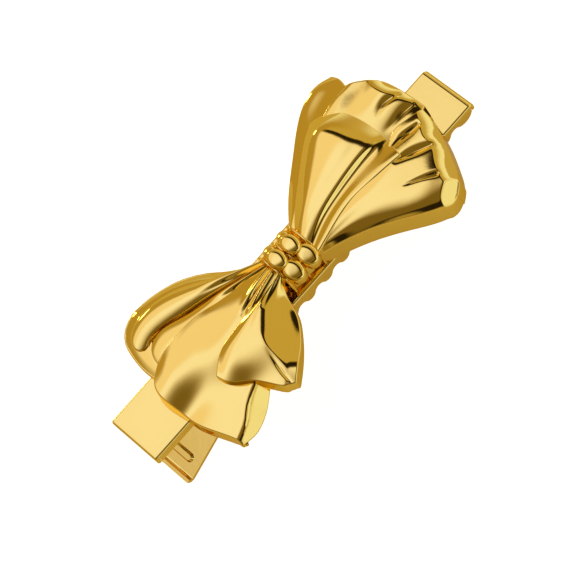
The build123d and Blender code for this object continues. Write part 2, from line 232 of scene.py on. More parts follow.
def cut_off(surface, corner, fall, crease=0.05):
    """The surface kept under a plane that starts at a corner point and falls by so much along x and y."""

    def at(u, v):
        points = surface(u, v)
        plane = corner[2] - (points[..., :2] - corner[:2]) @ np.array(fall)
        points[..., 2] = plane - crease * np.logaddexp(0, (plane - points[..., 2]) / crease)
        return points

    return at


# ---- closed castings ----

sheet_wall = 0.9


class Edge:
    """How a sheet ends on one side: its rounding, the wall's outward lean in degrees, and the wall's foot.

    The lean and the foot may change along the side. The sides follow each other round the sheet in the
    order left, far, right, near.
    """

    def __init__(self, rounding, lean, foot):
        self.rounding = rounding
        self.leans = lean if isinstance(lean, tuple) else (lean, lean)
        self.feet = foot if isinstance(foot, tuple) else (foot, foot)

    def along(self, count):
        """The rounding, the lean in radians and the foot at so many places along the side."""
        shares = np.linspace(0, 1, count)
        leans = np.interp(shares, np.linspace(0, 1, len(self.leans)), self.leans)
        feet = np.interp(shares, np.linspace(0, 1, len(self.feet)), self.feet)
        return np.stack([np.full(count, self.rounding), np.radians(leans), feet], axis=1)


def border(index, depth=0):
    """The ring of a grid at this depth from its border: along its left, far, right and near side."""
    left = index[:-1, depth]
    far = index[-1 - depth, :-1]
    right = index[:0:-1, -1 - depth]
    near = index[depth, :0:-1]
    return np.concatenate([left, far, right, near])


def grid_faces(index, flipped=False):
    """The quads of a grid."""
    faces = []
    for i in range(index.shape[0] - 1):
        for j in range(index.shape[1] - 1):
            face = (index[i, j], index[i + 1, j], index[i + 1, j + 1], index[i, j + 1])
            faces.append(face[:1] + face[:0:-1] if flipped else face)
    return faces


def ring_faces(outer, inner):
    """The quads between two rings of the same count."""
    return list(zip(outer, inner, np.roll(inner, -1), np.roll(outer, -1)))


def zip_rings(outer, inner, outer_count, inner_count):
    """The triangles between two rings that turn the same way round four sides of different counts."""
    faces = []
    outer_start = 0
    inner_start = 0
    for outer_side, inner_side in zip((*outer_count, *outer_count), (*inner_count, *inner_count)):
        i = 0
        for k in range(outer_side):
            a = outer[(outer_start + k) % len(outer)]
            b = outer[(outer_start + k + 1) % len(outer)]
            while i < inner_side and (i + 0.5) / inner_side < (k + 0.5) / outer_side:
                c = inner[(inner_start + i) % len(inner)]
                d = inner[(inner_start + i + 1) % len(inner)]
                faces.append((a, d, c))
                i += 1
            c = inner[(inner_start + i) % len(inner)]
            faces.append((a, b, c))
        while i < inner_side:
            b = outer[(outer_start + outer_side) % len(outer)]
            c = inner[(inner_start + i) % len(inner)]
            d = inner[(inner_start + i + 1) % len(inner)]
            faces.append((b, d, c))
            i += 1
        outer_start += outer_side
        inner_start += inner_side
    return faces


def ring_average(values, reach):
    """A closed ring of values, smoothed over its neighbours."""
    total = values.copy()
    for shift in range(1, reach + 1):
        total += np.roll(values, shift, axis=0) + np.roll(values, -shift, axis=0)
    return total / (2 * reach + 1)


def rim_outward(rim, step_out):
    """Level unit vectors that point away from the sheet all round its rim."""
    ahead = np.roll(rim, -1, axis=0) - np.roll(rim, 1, axis=0)
    outward = np.stack([ahead[:, 1], -ahead[:, 0], np.zeros(len(rim))], axis=1)
    outward /= np.linalg.norm(outward, axis=1)[:, None] + 1e-9
    if (outward * step_out).sum() < 0:
        outward = -outward
    outward = ring_average(outward, 2)
    return outward / np.linalg.norm(outward, axis=1)[:, None]


def rim_slope(step_out, outward):
    """The angle that the sheet rises at towards its rim, taken as leading outward even at a corner."""
    least_outward_share = 0.35
    steepest_fall = -1.4
    steepest_rise = 0.9
    least = least_outward_share * np.linalg.norm(step_out[:, :2], axis=1) + 1e-4
    slope = np.arctan2(step_out[:, 2], np.maximum((step_out * outward).sum(axis=1), least))
    return ring_average(np.clip(slope, steepest_fall, steepest_rise), 3)


def wall_rings(rim, step_out, sides):
    """The rings of points below a rim: a rounded edge, a leaning wall, a rounded lip and a flat foot.

    step_out holds the steps to the rim from the points just inside it, and sides the rounding, the lean and
    the foot at each.
    """
    lip_r = 0.2
    least_drop = 0.05
    rounding_steps = 8
    wall_steps = 6
    rounding, lean, foot = sides.T
    outward = rim_outward(rim, step_out)
    slope = rim_slope(step_out, outward)
    up = np.array([0.0, 0.0, 1.0])
    rings = []
    wall_heading = lean - math.pi / 2
    for share in np.linspace(0, 1, rounding_steps + 1)[1:]:
        heading = slope + (np.minimum(wall_heading, slope) - slope) * share
        out = rounding * (np.sin(slope) - np.sin(heading))
        down = rounding * (np.cos(heading) - np.cos(slope))
        rings.append(rim + outward * out[:, None] + up * down[:, None])
    top = rings[-1]
    full_drop = np.maximum(top[:, 2] - foot, least_drop)
    for share in np.linspace(0, 1, wall_steps + 1)[1:]:
        drop = full_drop * share
        rings.append(top + outward * (drop * np.tan(lean))[:, None] - up * drop[:, None])
    lip = rings[-1]
    for angle in (30, 60, 90):
        turn = math.radians(angle)
        rings.append(lip - outward * lip_r * (1 - math.cos(turn)) - up * lip_r * math.sin(turn))
    rings.append(lip - outward * (sheet_wall - lip_r) - up * lip_r)
    return rings


def cosine_shares(count):
    """Shares from 0 to 1, closer together towards both ends."""
    return 0.5 - 0.5 * np.cos(np.linspace(0, math.pi, count + 1))


def sheet_ceiling(surface, lowest, hollow, count=24):
    """The underside: a wall's thickness below the surface, or low down when the sheet isn't hollow."""
    margin_u = 0.1
    margin_v = 0.12
    solid_rise = 0.3
    shares_u = np.linspace(margin_u, 1 - margin_u, count + 1)
    shares_v = np.linspace(margin_v, 1 - margin_v, count + 1)
    ceiling = surface(*np.meshgrid(shares_u, shares_v, indexing="ij"))
    ceiling[..., 2] -= sheet_wall
    if not hollow:
        ceiling[..., 2] = np.minimum(ceiling[..., 2], lowest + solid_rise)
    return ceiling


def closed_sheet(surface, left, far, right, near, count=(96, 96), hollow=True):
    """Points and faces of one closed casting with this surface on top and an Edge on each side."""
    count_u, count_v = count
    grid = np.meshgrid(cosine_shares(count_u), cosine_shares(count_v), indexing="ij")
    skin = surface(*grid).reshape(-1, 3)
    index = np.arange(len(skin)).reshape(count_u + 1, count_v + 1)
    rim = border(index)
    sides = [edge.along(span) for edge, span in zip((left, far, right, near), (*count, *count))]
    sides = ring_average(ring_average(np.concatenate(sides), 3), 3)
    rings = wall_rings(skin[rim], skin[rim] - skin[border(index, 1)], sides)
    ceiling = sheet_ceiling(surface, np.median(rings[-1][:, 2]), hollow)

    faces = grid_faces(index)
    start = len(skin)
    ring = rim
    for _ in rings:
        below = np.arange(start, start + len(rim))
        faces.extend(ring_faces(ring, below))
        start += len(rim)
        ring = below
    rows, columns = ceiling.shape[:2]
    inner = np.arange(rows * columns).reshape(rows, columns) + start
    faces.extend(grid_faces(inner, flipped=True))
    faces.extend(zip_rings(ring, border(inner), count, (rows - 1, columns - 1)))
    return np.concatenate([skin, *rings, ceiling.reshape(-1, 3)]), faces


def build_mesh(name, parts):
    """One mesh object, in metres, from several lists of points (mm) and faces."""
    points = []
    faces = []
    start = 0
    for block, block_faces in parts:
        points.append(block)
        faces.extend([tuple(int(i) + start for i in face) for face in block_faces])
        start += len(block)
    mesh = bpy.data.meshes.new(name)
    mesh.from_pydata(np.concatenate(points).tolist(), [], faces)
    mesh.transform(arm_frame)
    mesh.validate()
    mesh.update()
    mesh.shade_smooth()
    piece = bpy.data.objects.new(name, mesh)
    bpy.context.scene.collection.objects.link(piece)
    return piece


# ---- the bow's sheets ----
# Each runs from the knot to a free end, and v leads from its left side to its right. A rail is a row of
# (x, y, z), a line that a sheet breaks over at is a row of (x, y), and a fold a row of (x, y, rise, width).

ground = 0.25
knot_side_x = 32.6
knot_tail_x = 27.4


def loop_lobe():
    """The narrow wing along the loop's left side, rising under the layers beside it."""
    surface = loft(
        (0, 0.35, 0.7, 1),
        ((knot_side_x, 2.4, 1.6), (35.6, 5.3, 1.8), (40.2, 8.8, 1.9), (44.2, 11.5, 2.2),
         (46.9, 12.75, 2.3), (49.5, 13.0, 2.3), (51.3, 12.35, 2.3)),
        ((knot_side_x, 1.9, 2.6), (36.0, 4.7, 2.5), (40.7, 8.1, 2.4), (44.7, 10.85, 2.6),
         (47.4, 11.9, 2.75), (49.9, 12.1, 2.75), (51.5, 11.5, 2.7)),
        ((knot_side_x, 1.5, 3.0), (36.4, 4.1, 2.9), (41.2, 7.4, 2.9), (45.1, 9.8, 3.0),
         (47.9, 10.5, 3.15), (50.2, 10.7, 3.15), (51.5, 10.5, 3.1)),
        ((knot_side_x, 1.0, 3.0), (36.8, 3.6, 3.1), (41.6, 6.4, 3.3), (45.4, 8.0, 3.6),
         (48.0, 8.6, 3.8), (50.1, 8.9, 3.75), (51.2, 9.2, 3.6)),
    )
    return closed_sheet(
        surface,
        left=Edge(rounding=0.15, lean=-3, foot=ground),
        far=Edge(rounding=0.2, lean=2, foot=ground),
        right=Edge(rounding=0.2, lean=0, foot=1.6),
        near=Edge(rounding=0.3, lean=0, foot=ground),
    )


def loop_back():
    """The puffed layer behind the front sheet, breaking over at its end, with two pleats."""
    surface = loft(
        (0, 0.2, 0.42, 0.62, 0.82, 1),
        ((knot_side_x, 1.2, 2.7), (40.0, 5.1, 3.5), (45.5, 8.0, 3.9),
         (49.0, 8.9, 3.9), (51.2, 8.95, 3.8)),
        ((knot_side_x, 0.8, 2.8), (41.0, 4.6, 3.6), (47.0, 7.4, 4.1),
         (50.4, 8.3, 4.05), (52.1, 8.35, 4.0)),
        ((knot_side_x, 0.4, 3.0), (42.0, 3.4, 3.6), (48.0, 5.7, 4.1),
         (51.6, 6.75, 4.0), (53.5, 7.05, 3.95)),
        ((knot_side_x, 0.0, 3.0), (43.0, 1.8, 3.7), (49.0, 3.5, 4.15),
         (53.0, 4.7, 4.4), (54.7, 5.15, 4.4)),
        ((knot_side_x, -0.5, 2.9), (43.5, 0.0, 3.6), (50.0, 1.0, 4.0),
         (54.0, 1.7, 4.15), (55.1, 1.9, 4.1)),
        ((knot_side_x, -1.0, 2.8), (44.0, -1.8, 3.2), (50.5, -1.6, 3.5),
         (54.2, -1.3, 3.5), (55.2, -0.9, 3.4)),
    )
    surface = broken_over(
        surface,
        ((55.2, -1.0), (54.2, 1.6), (53.5, 3.8), (53.3, 5.6), (54.0, 8.0)),
        slope=0.42,
        curl=0.1,
        rounding=0.1,
    )
    surface = folded(
        surface,
        ((50.2, 2.6, 0.0, 0.5), (51.8, 3.0, -0.2, 0.5), (53.2, 2.9, -0.3, 0.5), (54.2, 2.5, -0.2, 0.45)),
        ((49.2, 0.5, 0.0, 0.5), (51.7, 0.3, -0.2, 0.5), (53.4, 0.3, -0.3, 0.5), (54.6, 0.1, -0.2, 0.45)),
    )
    return closed_sheet(
        surface,
        left=Edge(rounding=0.25, lean=3, foot=ground),
        far=Edge(rounding=0.3, lean=3, foot=ground),
        right=Edge(rounding=0.3, lean=0, foot=ground),
        near=Edge(rounding=0.3, lean=0, foot=ground),
        count=(140, 150),
    )


def loop_right():
    """The full right side: flat beside the front sheet, then broken over, with pleats that fan out."""
    surface = loft(
        (0, 0.2, 0.42, 0.64, 0.84, 1),
        ((knot_side_x, -2.9, 3.7), (37.7, -2.1, 4.4), (43.0, -2.1, 4.7), (48.0, -1.8, 4.6),
         (50.2, -0.9, 4.6), (52.6, -1.3, 4.6), (54.6, -1.7, 4.5)),
        ((knot_side_x, -3.3, 3.9), (37.8, -3.3, 4.7), (43.0, -3.8, 5.0), (48.0, -3.8, 5.0),
         (50.4, -3.6, 4.9), (52.5, -3.6, 4.85), (54.2, -3.9, 4.8)),
        ((knot_side_x, -3.5, 3.9), (37.9, -4.3, 4.65), (42.9, -5.4, 5.0), (47.4, -6.0, 4.95),
         (49.6, -6.1, 4.9), (51.6, -6.3, 4.8), (53.2, -6.5, 4.7)),
        ((knot_side_x, -3.7, 3.8), (37.9, -5.1, 4.55), (42.7, -7.3, 4.88), (46.4, -8.8, 4.9),
         (48.4, -9.2, 4.8), (50.2, -9.5, 4.6), (51.7, -9.4, 4.4)),
        ((knot_side_x, -3.8, 3.6), (37.9, -5.8, 4.25), (42.6, -8.9, 4.5), (45.8, -10.9, 4.5),
         (47.5, -11.6, 4.3), (49.0, -11.7, 4.3), (50.3, -11.4, 4.25)),
        ((knot_side_x, -3.9, 3.35), (37.9, -6.45, 3.85), (42.6, -9.75, 3.95), (45.4, -11.75, 3.85),
         (46.8, -12.45, 3.7), (47.8, -12.7, 3.65), (48.8, -12.35, 3.7)),
    )
    surface = broken_over(
        surface,
        ((49.2, -13.0), (48.9, -10.9), (49.5, -9.2), (50.5, -7.6),
         (51.5, -6.2), (51.9, -4.6), (52.9, -3.0), (55.0, 0.5)),
        slope=0.38,
        curl=0.18,
        rounding=0.04,
    )
    surface = folded(
        surface,
        ((48.4, -2.4, 0.0, 0.45), (50.2, -2.3, -0.35, 0.45),
         (51.4, -2.6, -0.5, 0.42), (52.6, -2.8, -0.3, 0.35)),
        ((46.8, -3.9, 0.0, 0.4), (48.4, -4.4, -0.3, 0.45),
         (49.9, -5.1, -0.45, 0.5), (51.5, -6.0, -0.3, 0.4)),
        ((45.2, -7.0, 0.0, 0.2), (47.4, -8.2, -0.2, 0.22), (49.1, -9.3, -0.4, 0.25)),
    )
    surface = cut_off(surface, (47.9, -11.3, 4.35), (0.385, -1.034))
    return closed_sheet(
        surface,
        left=Edge(rounding=0.2, lean=4, foot=2.0),
        far=Edge(rounding=0.25, lean=4, foot=ground),
        right=Edge(rounding=0.35, lean=(3, -4), foot=ground),
        near=Edge(rounding=0.3, lean=0, foot=ground),
        count=(200, 180),
    )


def loop_front():
    """The front sheet: a swell that rolls down to a crease, then a narrow strip up to its right edge."""
    surface = loft(
        (0, 0.14, 0.36, 0.6, 0.76, 0.83, 0.87, 0.92, 0.97, 1),
        ((knot_side_x, 0.7, 3.3), (35.9, 3.6, 3.4), (38.2, 5.2, 3.6),
         (41.3, 7.4, 3.7), (43.5, 8.7, 3.9), (45.0, 9.5, 4.1)),
        ((knot_side_x, 0.3, 3.8), (36.0, 2.6, 4.2), (38.6, 4.3, 4.5),
         (42.0, 6.3, 4.8), (44.9, 7.7, 5.0), (46.9, 8.6, 4.8)),
        ((knot_side_x, -0.4, 4.2), (36.2, 1.6, 4.9), (39.4, 3.1, 5.2), (42.4, 4.3, 5.4),
         (45.0, 5.3, 5.5), (46.5, 5.9, 5.5), (48.3, 6.3, 5.4)),
        ((knot_side_x, -1.3, 4.4), (36.3, 0.4, 5.0), (39.8, 1.4, 5.3), (43.0, 2.1, 5.5),
         (45.9, 2.6, 5.55), (47.1, 2.8, 5.5), (48.9, 3.0, 5.4)),
        ((knot_side_x, -2.0, 4.3), (36.3, -0.55, 4.95), (39.6, 0.25, 5.22), (43.2, 0.6, 5.38),
         (46.2, 0.85, 5.4), (47.4, 0.8, 5.36), (48.9, 0.75, 5.15)),
        ((knot_side_x, -2.45, 4.1), (36.2, -1.15, 4.7), (39.2, -0.6, 4.96),
         (43.4, -0.15, 5.12), (46.4, -0.05, 5.12), (48.8, -0.3, 4.95)),
        ((knot_side_x, -2.7, 3.95), (36.2, -1.5, 4.38), (39.0, -0.98, 4.52),
         (43.4, -0.55, 4.62), (46.6, -0.6, 4.65), (48.7, -1.0, 4.65)),
        ((knot_side_x, -3.1, 4.0), (35.9, -2.2, 4.42), (39.0, -1.7, 4.56),
         (43.3, -1.5, 4.65), (46.4, -1.8, 4.75), (48.5, -2.2, 4.8)),
        ((knot_side_x, -3.6, 4.15), (35.2, -3.1, 4.6), (37.8, -2.6, 4.77), (40.4, -2.4, 4.85),
         (43.0, -2.7, 4.95), (45.6, -3.1, 5.1), (48.2, -3.5, 5.1)),
        ((knot_side_x, -3.8, 4.15), (35.1, -3.45, 4.6), (37.7, -3.0, 4.77), (40.3, -2.8, 4.85),
         (43.0, -3.1, 4.95), (45.5, -3.5, 5.1), (48.1, -3.9, 5.1)),
    )
    surface = broken_over(
        surface,
        ((49.0, -2.5), (47.6, -1.0), (46.6, 1.0), (46.1, 2.8), (45.5, 4.8), (44.6, 6.6), (43.0, 8.6)),
        slope=0.36,
        curl=0.01,
        rounding=0.38,
    )
    return closed_sheet(
        surface,
        left=Edge(rounding=0.2, lean=5, foot=1.8),
        far=Edge(rounding=0.15, lean=0, foot=3.0),
        right=Edge(rounding=0.25, lean=0, foot=3.4),
        near=Edge(rounding=0.3, lean=0, foot=1.0),
        count=(150, 200),
        hollow=False,
    )


def tail_low():
    """The low tail on the left: a thin border that slopes up to what stands on it."""
    border_rise = 0.6
    border_width = 1.1
    middle_rise = 0.4
    left = spline(
        (knot_tail_x, 2.2, 2.2), (25.8, 3.4, 1.6), (21.2, 8.1, 0.9), (16.8, 10.8, 0.65), (12.4, 11.8, 0.6)
    )
    far = spline((12.4, 11.8, 0.6), (9.5, 10.5, 0.6), (8.0, 7.4, 0.6), (7.7, 4.2, 0.7), (8.2, 0.6, 0.9))
    outline = np.concatenate([left(np.linspace(0, 1, 25)), far(np.linspace(0.05, 1, 20))])
    flat = patch(
        left=left,
        right=spline((knot_tail_x, -0.6, 2.4), (20.0, 0.5, 1.6), (12.0, 0.0, 0.9), (8.0, 0.6, 0.9)),
        near=spline((knot_tail_x, 2.2, 2.2), (knot_tail_x, -0.6, 2.4)),
        far=far,
        lift=lambda u, v: middle_rise * np.sin(np.pi * v) * np.sin(np.pi * u),
    )

    def at(u, v):
        points = flat(u, v)
        inside = from_line(points[..., :2].copy(), outline)[0]
        points[..., 2] += border_rise * np.tanh(inside / border_width)
        return points

    return closed_sheet(
        at,
        left=Edge(rounding=0.2, lean=8, foot=ground),
        far=Edge(rounding=0.2, lean=8, foot=ground),
        right=Edge(rounding=0.3, lean=0, foot=ground),
        near=Edge(rounding=0.3, lean=0, foot=ground),
    )


def lobe_puff(u, v, height):
    """How far a lobe rises: fullest before its end, and steep at its sides."""
    across = np.sin(np.pi * v) ** 0.75
    along = np.sin(np.pi * (0.1 + 0.9 * u) ** 1.3) ** 0.6
    return height * across * along


def closed_lobe(surface):
    """Points and faces of a lobe that stands on the low tail."""
    side = Edge(rounding=0.2, lean=6, foot=0.9)
    return closed_sheet(
        surface,
        left=side,
        far=Edge(rounding=0.2, lean=6, foot=0.7),
        right=side,
        near=Edge(rounding=0.3, lean=0, foot=0.9),
        hollow=False,
    )


def tail_upper_lobe():
    """The left one of the two puffed lobes, creased from the knot."""
    left = spline(
        (knot_tail_x, 1.7, 3.0), (23.5, 4.4, 2.4), (18.6, 8.3, 1.9), (14.2, 10.0, 1.8), (12.0, 10.2, 1.7)
    )
    right = spline(
        (knot_tail_x, 0.9, 3.2), (21.8, 3.6, 2.4), (15.7, 5.8, 2.0), (11.8, 6.9, 1.8), (10.2, 6.7, 1.6)
    )
    surface = patch(
        left=left,
        right=right,
        near=spline((knot_tail_x, 1.7, 3.0), (knot_tail_x, 0.9, 3.2)),
        far=spline((12.0, 10.2, 1.7), (9.8, 9.2, 1.6), (8.9, 7.7, 1.5), (9.3, 6.8, 1.5), (10.2, 6.7, 1.6)),
        lift=lambda u, v: lobe_puff(u, v, height=0.85),
    )
    surface = folded(
        surface,
        ((27.0, 1.5, 0.3, 0.3), (23.5, 3.7, 0.25, 0.4), (20.0, 6.2, 0.0, 0.5)),
        ((27.0, 1.0, -0.25, 0.25), (23.5, 3.1, -0.25, 0.3), (19.0, 5.4, 0.0, 0.4)),
    )
    return closed_lobe(surface)


def tail_lower_lobe():
    """The right one of the two puffed lobes, partly under the broad tail."""
    left = spline(
        (knot_tail_x, 1.0, 3.2), (21.8, 3.4, 2.4), (15.7, 5.5, 2.0), (12.2, 6.6, 1.8), (11.0, 6.5, 1.6)
    )
    surface = patch(
        left=left,
        right=spline((knot_tail_x, -0.6, 3.3), (20.0, 1.3, 2.5), (12.0, 1.6, 1.8), (9.2, 1.6, 1.4)),
        near=spline((knot_tail_x, 1.0, 3.2), (knot_tail_x, -0.6, 3.3)),
        far=spline((11.0, 6.5, 1.6), (9.9, 5.6, 1.5), (9.3, 4.2, 1.4), (9.2, 1.6, 1.4)),
        lift=lambda u, v: lobe_puff(u, v, height=0.7),
    )
    surface = folded(
        surface,
        ((27.0, 0.6, 0.35, 0.3), (23.0, 2.2, 0.25, 0.35), (19.0, 3.9, 0.0, 0.4)),
        ((27.0, 0.2, -0.3, 0.25), (23.0, 1.6, -0.25, 0.3), (20.0, 2.8, 0.0, 0.4)),
    )
    return closed_lobe(surface)


def tail_broad():
    """The broad tail: nearly flat, sinking at its lower left, and folded down along its right side."""
    surface = loft(
        (0, 0.08, 0.25, 0.45, 0.66, 0.86, 1),
        ((knot_tail_x, 0.7, 3.4), (23.0, 1.5, 3.35), (19.6, 2.35, 3.3), (16.9, 3.2, 3.3),
         (14.1, 3.5, 3.3), (11.5, 3.4, 3.3), (9.6, 3.0, 3.2)),
        ((knot_tail_x, 0.4, 3.6), (23.0, 1.0, 3.5), (19.4, 1.7, 3.5), (15.5, 2.5, 3.5),
         (12.0, 2.5, 3.5), (9.6, 2.0, 3.5), (7.7, 1.9, 3.2)),
        ((knot_tail_x, 0.0, 3.7), (22.8, -0.1, 3.85), (18.6, 0.0, 3.85), (14.5, 0.0, 3.75),
         (11.0, -0.5, 3.75), (8.6, -0.8, 3.6), (6.5, -0.9, 3.2)),
        ((knot_tail_x, -0.5, 3.8), (22.5, -1.5, 4.0), (17.8, -2.4, 4.0), (13.8, -3.0, 3.7),
         (10.8, -3.6, 3.2), (8.6, -3.9, 2.75), (6.7, -4.0, 2.35)),
        ((knot_tail_x, -1.1, 3.8), (22.2, -3.2, 3.8), (17.2, -4.9, 3.5), (13.4, -6.1, 3.15),
         (10.6, -6.7, 2.95), (8.8, -6.9, 2.75), (7.0, -7.0, 2.45)),
        ((knot_tail_x, -1.8, 3.7), (22.0, -5.0, 3.5), (17.2, -7.2, 3.2), (13.9, -8.8, 3.05),
         (12.0, -10.1, 3.0), (10.4, -11.1, 2.95), (8.5, -11.7, 2.75)),
        ((knot_tail_x, -2.2, 3.6), (22.1, -5.9, 3.4), (18.1, -8.7, 3.35), (15.55, -10.35, 3.35),
         (12.95, -11.9, 3.2), (10.7, -12.8, 3.05), (8.45, -12.8, 2.85)),
    )
    surface = broken_over(
        surface,
        ((7.6, -12.4), (8.7, -12.1), (10.7, -11.35), (12.4, -10.1),
         (14.3, -9.15), (17.4, -7.9), (22.0, -5.2), (27.0, -2.2)),
        slope=1.2,
        curl=0,
        rounding=0.16,
    )
    surface = folded(
        surface,
        ((27.0, -0.2, 0.35, 0.3), (23.5, -0.6, 0.25, 0.4), (20.5, -1.2, 0.0, 0.4)),
        ((27.0, -0.5, -0.35, 0.25), (23.5, -1.1, -0.3, 0.3), (20.0, -1.9, 0.0, 0.4)),
        ((27.0, -0.8, 0.35, 0.25), (23.5, -1.6, 0.3, 0.3), (19.0, -3.2, 0.0, 0.4)),
    )
    # the foot rises towards the corner of the far and right sides, where the wall leans in
    rising = (ground, ground, ground, ground, 1.6)
    return closed_sheet(
        surface,
        left=Edge(rounding=0.2, lean=6, foot=0.6),
        far=Edge(rounding=0.3, lean=(14, 8, 4, 1, -6), foot=rising),
        right=Edge(rounding=0.15, lean=-26, foot=rising[::-1]),
        near=Edge(rounding=0.3, lean=0, foot=ground),
        count=(140, 160),
    )


def tail_short():
    """The short tail on top, creased from the knot to its tip, with a facet that falls away beside it."""
    surface = loft(
        (0, 0.1, 0.3, 0.5, 0.58, 0.8, 1),
        ((knot_tail_x, -1.5, 4.0), (24.2, -2.2, 4.2), (20.9, -2.45, 4.4), (18.1, -2.7, 4.45),
         (16.0, -3.0, 4.45), (14.4, -3.7, 4.4), (12.75, -4.9, 4.15)),
        ((knot_tail_x, -1.6, 4.2), (24.2, -2.4, 4.5), (20.9, -2.95, 4.7), (18.1, -3.4, 4.75),
         (16.0, -3.9, 4.75), (14.5, -4.8, 4.65), (12.95, -6.1, 4.1)),
        ((knot_tail_x, -1.8, 4.3), (24.2, -2.7, 4.65), (21.4, -3.45, 4.8), (18.9, -4.4, 4.85),
         (17.0, -5.5, 4.8), (15.7, -6.7, 4.6), (14.35, -7.9, 4.0)),
        ((knot_tail_x, -1.9, 4.3), (24.3, -2.8, 4.65), (22.2, -3.8, 4.8), (20.5, -5.4, 4.8),
         (19.3, -7.3, 4.7), (18.1, -8.9, 4.4), (15.95, -10.1, 3.9)),
        ((knot_tail_x, -2.0, 4.25), (24.6, -3.0, 4.5), (22.6, -4.2, 4.65), (20.9, -5.8, 4.65),
         (19.7, -7.6, 4.55), (18.7, -9.8, 4.3), (16.6, -11.5, 3.9)),
        ((knot_tail_x, -2.3, 4.0), (25.5, -3.5, 3.9), (24.0, -5.5, 3.5), (22.4, -7.4, 3.45),
         (20.9, -9.2, 3.6), (19.4, -11.0, 4.0), (17.4, -12.6, 3.85)),
        ((knot_tail_x, -2.5, 3.7), (26.0, -4.0, 3.3), (24.75, -6.85, 2.9), (23.3, -8.85, 2.85),
         (21.7, -10.5, 3.25), (20.0, -11.9, 3.85), (18.2, -13.2, 3.75)),
    )
    surface = folded(
        surface,
        ((26.6, -2.1, -0.2, 0.35), (24.6, -2.75, -0.25, 0.4), (22.6, -3.7, 0.0, 0.3)),
        ((19.2, -7.4, 0.0, 0.25), (18.6, -9.6, -0.12, 0.25),
         (18.1, -11.6, -0.18, 0.25), (17.9, -13.2, 0.0, 0.2)),
    )
    return closed_sheet(
        surface,
        left=Edge(rounding=0.2, lean=3, foot=2.4),
        far=Edge(rounding=0.2, lean=6, foot=(1.6, 2.3)),
        right=Edge(rounding=0.25, lean=2, foot=1.9),
        near=Edge(rounding=0.3, lean=0, foot=1.0),
        count=(150, 170),
        hollow=False,
    )


# ---- the knot's pieces ----

knot_middle_y = -0.6


def knot_arch(half, top, first_x, last_x, bulge, count=9, turns=49):
    """Points and faces of a closed arch over the plate, its section bulging outward along its width."""
    wall = 0.7
    side_squareness = 0.8
    top_squareness = 0.6
    across = np.linspace(-1, 1, count)[:, None]
    angle = np.linspace(0, np.pi, turns)
    lean = -np.sign(np.cos(angle)) * np.abs(np.cos(angle)) ** side_squareness
    rise = np.sin(angle) ** top_squareness
    x = np.repeat(first_x + (last_x - first_x) * (across + 1) / 2, turns, axis=1)

    def skin(grown):
        """The arch's surface, grown by so much at each place across it."""
        y = knot_middle_y + (half + grown) * lean
        z = ground + (top - ground + grown) * rise
        return np.stack([x, y, z], axis=-1).reshape(-1, 3)

    swell = bulge * np.sqrt(1 - across**2)
    outer = np.arange(count * turns).reshape(count, turns)
    inner = outer + count * turns
    faces = grid_faces(outer) + grid_faces(inner, flipped=True) + ring_faces(border(outer), border(inner))
    return np.concatenate([skin(swell), skin(np.full_like(swell, -wall))]), faces


def pillow(middle, half_sizes, turn, count=40):
    """Points and faces of a rounded pillow: its middle, its half sizes and its turn about X in degrees."""
    squareness = 0.6
    rows = np.linspace(0, np.pi, count)[1:-1]
    turns = np.linspace(0, 2 * np.pi, 2 * count, endpoint=False)
    row, around = np.meshgrid(rows, turns, indexing="ij")
    height = np.sign(np.cos(row)) * np.abs(np.cos(row)) ** squareness
    reach = np.sin(row) ** squareness
    unit = np.stack([reach * np.cos(around), reach * np.sin(around), height], axis=-1)
    unit = np.concatenate([unit.reshape(-1, 3), [[0, 0, 1.0], [0, 0, -1.0]]])
    lean = math.radians(turn)
    spin = np.array([[1, 0, 0], [0, math.cos(lean), -math.sin(lean)], [0, math.sin(lean), math.cos(lean)]])
    points = (unit * half_sizes) @ spin.T + middle
    index = np.arange(len(rows) * len(turns)).reshape(len(rows), len(turns))
    top = index.size
    bottom = top + 1
    faces = []
    for j in range(len(turns)):
        n = (j + 1) % len(turns)
        faces.append((top, index[0, j], index[0, n]))
        faces.append((bottom, index[-1, n], index[-1, j]))
        for i in range(len(rows) - 1):
            faces.append((index[i, j], index[i + 1, j], index[i + 1, n], index[i, n]))
    return points, faces


# ---- materials ----

gold_tone = (0.94, 0.675, 0.14, 1)
deep_gold_tone = (0.89, 0.625, 0.115, 1)
grazing_tint = (1.0, 0.82, 0.4, 1.0)
tone_scale = 90
sheen_scale = 260
skin_scale = 1400
skin_depth = 0.02 * MM


